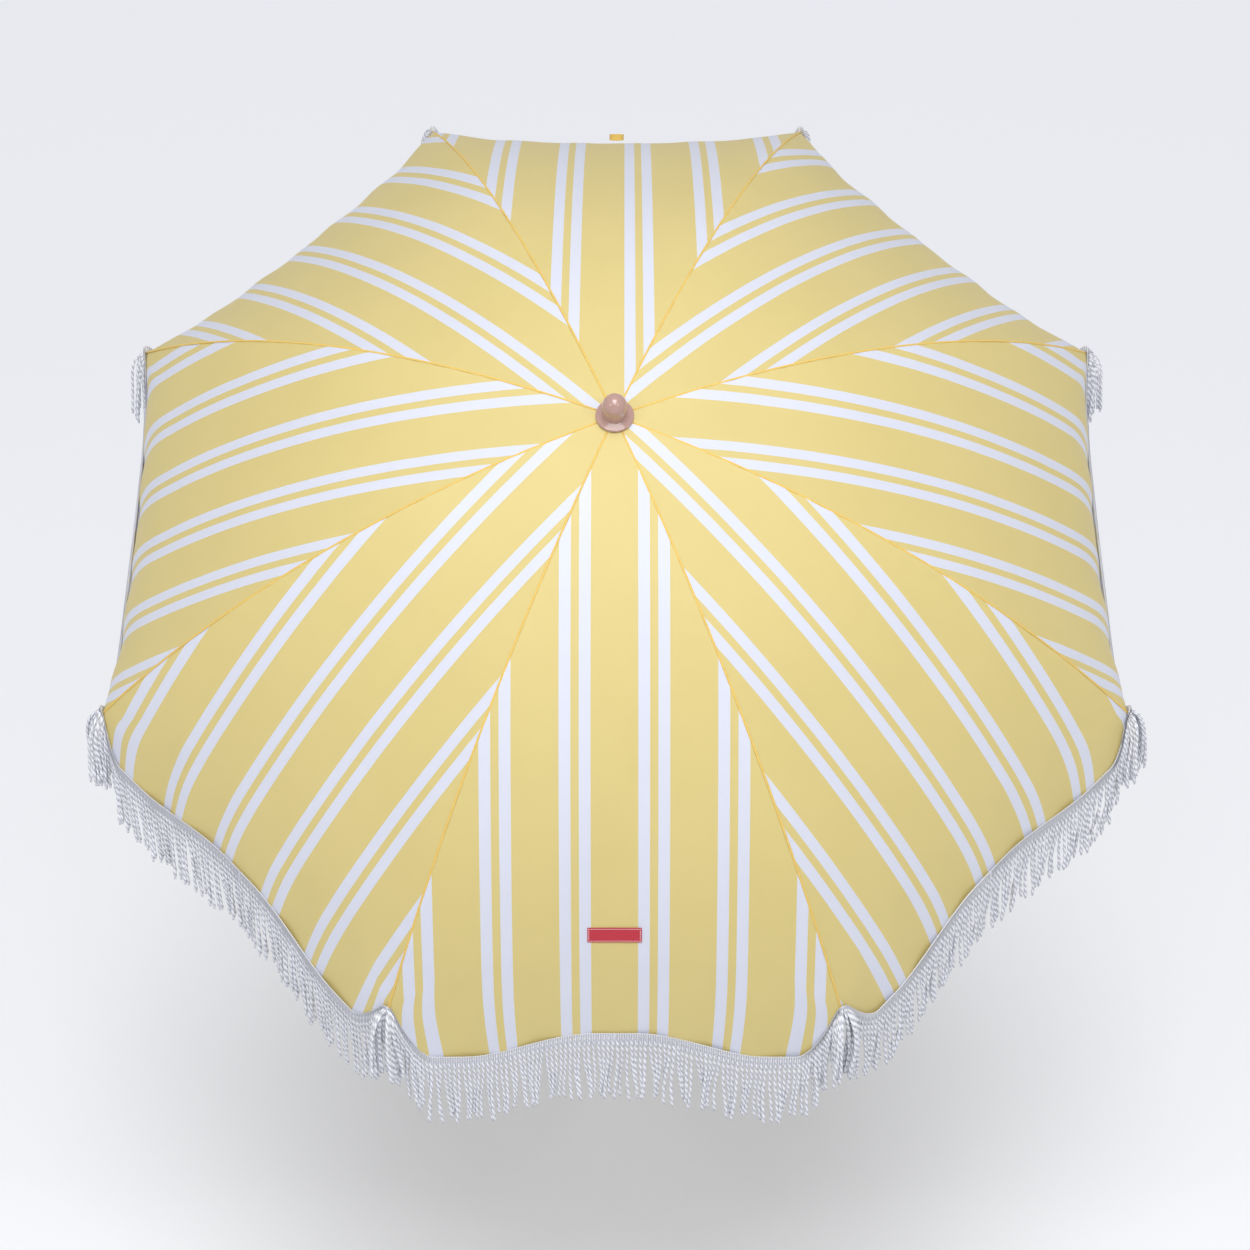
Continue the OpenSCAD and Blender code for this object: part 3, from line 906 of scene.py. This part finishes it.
# %% Hang the cords
def hang_cords(k):
    rng = np.random.default_rng(100 + k)
    line = hem_lines[k]
    total = line[3][-1]
    count = round(total / CORD_GAP)
    lengths = (np.arange(count) + 0.5) / count * total
    group_end = np.cumsum(rng.integers(2, 7, count))
    group = np.searchsorted(group_end, np.arange(count), side="right")
    middles = {g: lengths[group == g].mean() for g in set(group)}
    cling = {g: rng.uniform(0.0, 0.6) for g in set(group)}
    jobs = [(s, cling[g] * (middles[g] - s)) for s, g in zip(lengths, group)]
    # where the braid turns over a rib tip its cords bunch into a tassel and stand out
    tip = np.interp(0, line[0], line[3])
    jobs += [(tip + d, -0.4 * d) for d in np.linspace(-TIP_SPREAD, TIP_SPREAD, TIP_CORDS)]
    made = bmesh.new()
    for s, pull in jobs:
        start, out, sideways = cord_axes_at(line, s)
        throw = THROW * math.exp(-(((s - tip) / THROW_REACH) ** 2)) * rng.uniform(0.2, 1.0)
        length = CORD_LENGTH * rng.uniform(0.90, 1.04)
        pull = pull + rng.normal(0, 0.0026)
        lean = rng.normal(0, 0.003)
        width = CORD_RADIUS * rng.uniform(0.9, 1.06)
        points = cord_points(start, out, sideways, length, pull, lean, throw, width, s * 90)
        first = len(made.verts)
        made.from_mesh(cord)
        made.verts.ensure_lookup_table()
        for vertex, point in zip(made.verts[first:], to_world(points)):
            vertex.co = point
    layer = made.loops.layers.uv["UVMap"]
    for face in made.faces:
        for loop in face.loops:
            loop[layer].uv.y *= CORD_LENGTH
    piece = new_piece(f"cords_{k}", made, fringe_cotton)
    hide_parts(f"fringe_{k}")
    return piece, len(jobs)


cords = {}
for k in range(1, RIBS + 1):
    cords[k], cord_count = hang_cords(k)
print("cords on one gore:", cord_count, "faces:", len(cords[RIBS].data.polygons))

# %% [markdown]
# ## Folding the soft pieces
# When the runner slides down, each rib swings in and takes its gore with it.  Real cloth then
# gathers between the ribs in deep folds.  Modelling those folds would change the open canopy, so
# the soft pieces of a gore do something simpler: they turn with the rib.

# %% Ride the ribs
for k in range(1, RIBS + 1):
    for piece in (gores[k], seams[k], braids[k], cords[k]):
        ride_rib(piece, k)
print("soft pieces on ribs:", 4 * RIBS)

# %% [markdown]
# ## Stitched label
# A plain red woven label sits on the front panel, near the hem, with a line of white stitches
# round it and nothing written on it.  It could be shrinkwrapped onto the cloth, but the cloth is
# a formula, so the label is a small grid laid on the same formula, a hair above the cloth.

# %% Label cloth and thread
LABEL_WIDE = 0.082
LABEL_HIGH = 0.025
LABEL_ANGLE = math.radians(37.66)
LABEL_RIB = 7
LABEL_STAND = 0.0016
LABEL_THICK = 0.0007
LABEL_THREAD = 0.0007

label_red = finish("label_red", (0.60, 0.025, 0.055), 0.65, Sheen_Weight=0.2)
label_weave = pattern(
    label_red, BANDS, object_space(label_red), bands_direction="Z", in_Scale=WAVE / LABEL_THREAD
)
two_tones(label_red, label_weave, (0.44, 0.014, 0.032), (0.60, 0.026, 0.052), 0.4, 0.0002)

stitch_white = finish("stitch_white", (0.85, 0.85, 0.87), 0.7, Sheen_Weight=0.2)
stitch_fibres = pattern(stitch_white, NOISE, object_space(stitch_white), in_Scale=900.0)
bump(stitch_white, stitch_fibres, "Fac", 0.4, 0.0002)
print("label", LABEL_WIDE, "by", LABEL_HIGH, "m")

# %% Label
FRONT_SIDE = -1
FRONT_PANEL = rib_angle(LABEL_RIB) + FRONT_SIDE * HALF_PANEL
LABEL_OUT = outward(FRONT_PANEL, LABEL_ANGLE)


def on_front_panel(across, down, stand):
    """World points on the front panel: across from its middle, down from the label's middle."""
    across = np.asarray(across, float)
    p = LABEL_ANGLE + np.asarray(down, float) / CLOTH_ARC
    reach = CLOTH_ARC * np.sin(p) * math.sin(HALF_PANEL)
    share = 1 - np.abs(across) / reach
    base = dome_point(LABEL_RIB, FRONT_SIDE, share, p)
    middle = dome_point(LABEL_RIB, FRONT_SIDE, np.ones_like(share), p)
    along = np.array([-math.sin(FRONT_PANEL), math.cos(FRONT_PANEL), 0.0])
    # both halves of the panel mirror each other, so the other half is the mirror of this one
    height = (base - middle) @ LABEL_OUT
    points = middle + across[:, None] * along + height[:, None] * LABEL_OUT
    return to_world(points + stand * LABEL_OUT)


def make_label():
    made, xy = grid(33, 9)
    across, down = xy[:, 0] * LABEL_WIDE / 2, xy[:, 1] * LABEL_HIGH / 2
    move_to(made, on_front_panel(across, down, LABEL_STAND))
    label = new_piece("woven_label", made, label_red)
    look_away(label, 0)
    thicken(label, LABEL_THICK, -1)
    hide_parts("label")
    return label


woven_label = make_label()
print("label faces:", len(woven_label.data.polygons))

# %% Stitches round the label
STITCH = 0.0026
STITCH_WIDE = 0.0007
STITCH_HIGH = 0.0006
STITCH_STEP = 0.0042
STITCH_INSET = 0.0022


def stitch_places():
    """Middle of every stitch round the label, and whether it lies across the panel."""
    half_w = LABEL_WIDE / 2 - STITCH_INSET
    half_h = LABEL_HIGH / 2 - STITCH_INSET
    across = np.linspace(-half_w, half_w, round(2 * half_w / STITCH_STEP) + 1)
    down = np.linspace(-half_h, half_h, round(2 * half_h / STITCH_STEP) + 1)
    level = [(a, s * half_h, True) for s in (-1, 1) for a in across]
    return level + [(s * half_w, d, False) for s in (-1, 1) for d in down[1:-1]]


def make_stitches():
    made = bmesh.new()
    for a, d, level in stitch_places():
        box = bmesh.ops.create_cube(made, size=1)["verts"]
        local = np.array([v.co for v in box])
        wide, high = (STITCH, STITCH_WIDE) if level else (STITCH_WIDE, STITCH)
        base = on_front_panel(a + local[:, 0] * wide, d + local[:, 1] * high, LABEL_STAND)
        lift = local[:, 2:3] * STITCH_HIGH * (LABEL_OUT @ MAST.T)
        for v, point in zip(box, base + lift):
            v.co = point
    return new_piece("label_stitches", made, stitch_white, smooth=False)


label_stitches = make_stitches()
for piece in (woven_label, label_stitches):
    ride_rib(piece, LABEL_RIB)
print("label stitches:", len(stitch_places()))

# %% [markdown]
# ## Tape loop
# A short loop of woven tape is caught in the hem of the back panel.  It holds a button or a tie
# when the umbrella is rolled up.  It could be a curve with a flat bevel; a thin grid bent into a
# drop shape does the same and has clean faces to thicken.

# %% Tape loop
TAPE_WIDE = 0.009
TAPE_THICK = 0.0009
TAPE_THREAD = 0.0011
TAPE_RIB = 2

tape_yellow = finish("tape_yellow", (0.82, 0.55, 0.12), 0.75, Sheen_Weight=0.15)
tape_weave = pattern(
    tape_yellow, BANDS, object_space(tape_yellow), bands_direction="X", in_Scale=WAVE / TAPE_THREAD
)
two_tones(tape_yellow, tape_weave, (0.70, 0.44, 0.08), (0.86, 0.60, 0.15), 0.5, 0.0003)


def make_tape_loop():
    made, xy = grid(41, 5)
    low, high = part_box("tie_strap")
    middle = (low + high) / 2
    reach = (high.x - low.x) / 2
    turn = xy[:, 0] * math.pi
    # a drop: narrow where both ends meet, round at the far end
    drop_x = reach * 0.92 * np.sin(turn) * (0.55 + 0.45 * np.cos(turn / 2))
    drop_out = 0.5 * (high.z - low.z) * np.cos(turn) + 0.25 * (high.z - low.z)
    depth = (high.y - low.y) / 2
    x = middle.x + drop_x
    y = middle.y + depth * 0.7 * np.cos(turn) + 0.3 * TAPE_WIDE * xy[:, 1]
    z = middle.z + 0.004 - drop_out * 0.55 + TAPE_WIDE / 2 * xy[:, 1]
    move_to(made, np.stack([x, y, z], axis=-1))
    bmesh.ops.remove_doubles(made, verts=made.verts, dist=1e-5)
    loop = new_piece("tape_loop", made, tape_yellow)
    thicken(loop, TAPE_THICK, 0)
    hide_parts("tie_strap")
    return loop


tape_loop = make_tape_loop()
ride_rib(tape_loop, TAPE_RIB)
print("tape loop at", [round(c, 3) for c in tape_loop.data.vertices[0].co])

# %% [markdown]
# ## Finishes of the hard parts
# The frame's own parts stay as they are and only get better finishes.  The poles are tubes with a
# printed wood lacquer, the hub, runner and rib tips are moulded plastic, the tilt joint is a
# casting with a fine grain, and the ribs are coated steel.  Grain could be painted on an
# unwrapped mesh, but these parts have no UV map, so each finish reads Object coordinates and its
# grain has a real size on every part.

# %% Wood lacquer
def wood(name, turn):
    """Long grain along a pole: the noise is stretched twenty times along it."""
    material = finish(name, (0.36, 0.19, 0.09), 0.38, Coat_Weight=0.25, Coat_Roughness=0.2)
    space = object_space(material, turn=turn, scale=(1, 1, 0.05))
    grain = pattern(material, NOISE, space, in_Scale=120.0, in_Detail=6.0, in_Distortion=0.6)
    two_tones(material, grain, (0.23, 0.11, 0.05), (0.52, 0.31, 0.16), 0.15, 0.0003)
    return material


pole_wood = wood("pole_wood", (0, 0, 0))
mast_wood = wood("mast_wood", (-LEAN, 0, 0))
print("wood on upright and leaning poles")

# %% Moulded plastic, casting and steel
def moulded(name, colour, rough, grain_size, depth, **sockets):
    """A finish with a fine grain and a slight change of tone."""
    material = finish(name, colour, rough, **sockets)
    space = object_space(material)
    grain = pattern(material, NOISE, space, in_Scale=1 / grain_size, in_Detail=3.0)
    low = tuple(c * 0.9 for c in colour)
    high = tuple(min(1, c * 1.08) for c in colour)
    two_tones(material, grain, low, high, 0.3, depth)
    return material


white_plastic = moulded("white_plastic", (0.82, 0.82, 0.80), 0.38, 0.004, 0.0001)
black_plastic = moulded("black_plastic", (0.030, 0.030, 0.034), 0.48, 0.0016, 0.0002)
cast_joint = moulded("cast_joint", (0.60, 0.61, 0.63), 0.42, 0.0022, 0.0002, Metallic=0.9)
bright_steel = moulded("bright_steel", (0.62, 0.63, 0.66), 0.26, 0.003, 0.0001, Metallic=1.0)
coated_steel = moulded("coated_steel", (0.78, 0.79, 0.81), 0.34, 0.002, 0.0001, Coat_Weight=0.2)
finial_gloss = moulded(
    "finial_gloss", (0.47, 0.29, 0.25), 0.14, 0.009, 0.00005, Coat_Weight=0.6, Coat_Roughness=0.05
)
print("finishes of the hard parts ready")

# %% Give each part its finish
PARTS = {
    "lower_pole": pole_wood, "inner_pole": pole_wood, "mast": mast_wood,
    "ground_spike": black_plastic, "lock_knob": black_plastic, "tilt_button": black_plastic,
    "lock_collar": white_plastic, "hub": white_plastic, "runner": white_plastic,
    "tilt_clevis": cast_joint, "tilt_tongue": cast_joint,
    "tilt_pin": bright_steel, "hub_ring": bright_steel, "finial_screw": bright_steel,
    "finial": finial_gloss,
}
for k in range(1, RIBS + 1):
    PARTS[f"rib_{k}"] = coated_steel
    PARTS[f"stretcher_{k}"] = coated_steel
    PARTS[f"rib_tip_{k}"] = white_plastic

for name, material in PARTS.items():
    node = frame["nodes"][name]
    if node.material_slots:
        for slot in node.material_slots:
            slot.material = material
    else:
        node.data.materials.append(material)
print("parts given a finish:", len(PARTS))

# %% [markdown]
# ## The cut of the cloth
# A gore's cut is a long triangle with a curved foot, as wide as the distance between two rib tips.

# %% [markdown]
# ## Floor and light
# A pale seamless floor and soft lights keep attention on the cloth.  The dome could be lit by the
# world alone, but it would look flat.  A round light above the crown, in line with the mast,
# gives the dome its soft bright middle, and two small ones in front light the hem and put the
# highlights on the finial.

# %% Stage
floor_paint = finish(
    "floor_paint", (0.90, 0.905, 0.925), 0.9,
    Emission_Color=(0.95, 0.96, 1, 1), Emission_Strength=0.13,
)
floor_mesh = bmesh.new()
bmesh.ops.create_grid(floor_mesh, x_segments=1, y_segments=1, size=40)
bmesh.ops.translate(floor_mesh, verts=floor_mesh.verts, vec=(0, 0, cad_low.z - 0.001))
floor_data = bpy.data.meshes.new("floor")
floor_mesh.to_mesh(floor_data)
floor_mesh.free()
floor = bpy.data.objects.new("floor", floor_data)
bpy.context.scene.collection.objects.link(floor)
floor.data.materials.append(floor_paint)
print("floor at", round(cad_low.z, 3), "m")

# %% Lights
def soft_light(name, place, target, size, power):
    data = bpy.data.lights.new(name, "AREA")
    data.shape = "DISK"
    data.size = size
    data.energy = power
    light = bpy.data.objects.new(name, data)
    bpy.context.scene.collection.objects.link(light)
    light.location = place
    light.rotation_euler = (Vector(target) - Vector(place)).to_track_quat("-Z", "Y").to_euler()
    return light


crown = to_world([0, 0, HUB_HEIGHT])
soft_light("top light", to_world([0, 0, HUB_HEIGHT + 1.9]), crown, 1.3, 16)
soft_light("left light", (-1.86, -2.88, 3.24), crown, 0.25, 8.5)
soft_light("right light", (1.86, -2.88, 3.24), crown, 0.25, 8.5)

# a broad even light from halfway between straight up and the mast's lean
sky = bpy.data.objects.new("ceiling light", bpy.data.lights.new("ceiling light", "SUN"))
sky.data.energy = 1.1
sky.data.angle = math.radians(35)
sky.rotation_euler = (0.5 * LEAN, 0, 0)
bpy.context.scene.collection.objects.link(sky)

world = bpy.data.worlds.new("studio")
bpy.context.scene.world = world
world.use_nodes = True
background = world.node_tree.nodes["Background"]
background.inputs["Color"].default_value = (0.93, 0.95, 1.0, 1)
background.inputs["Strength"].default_value = 0.46
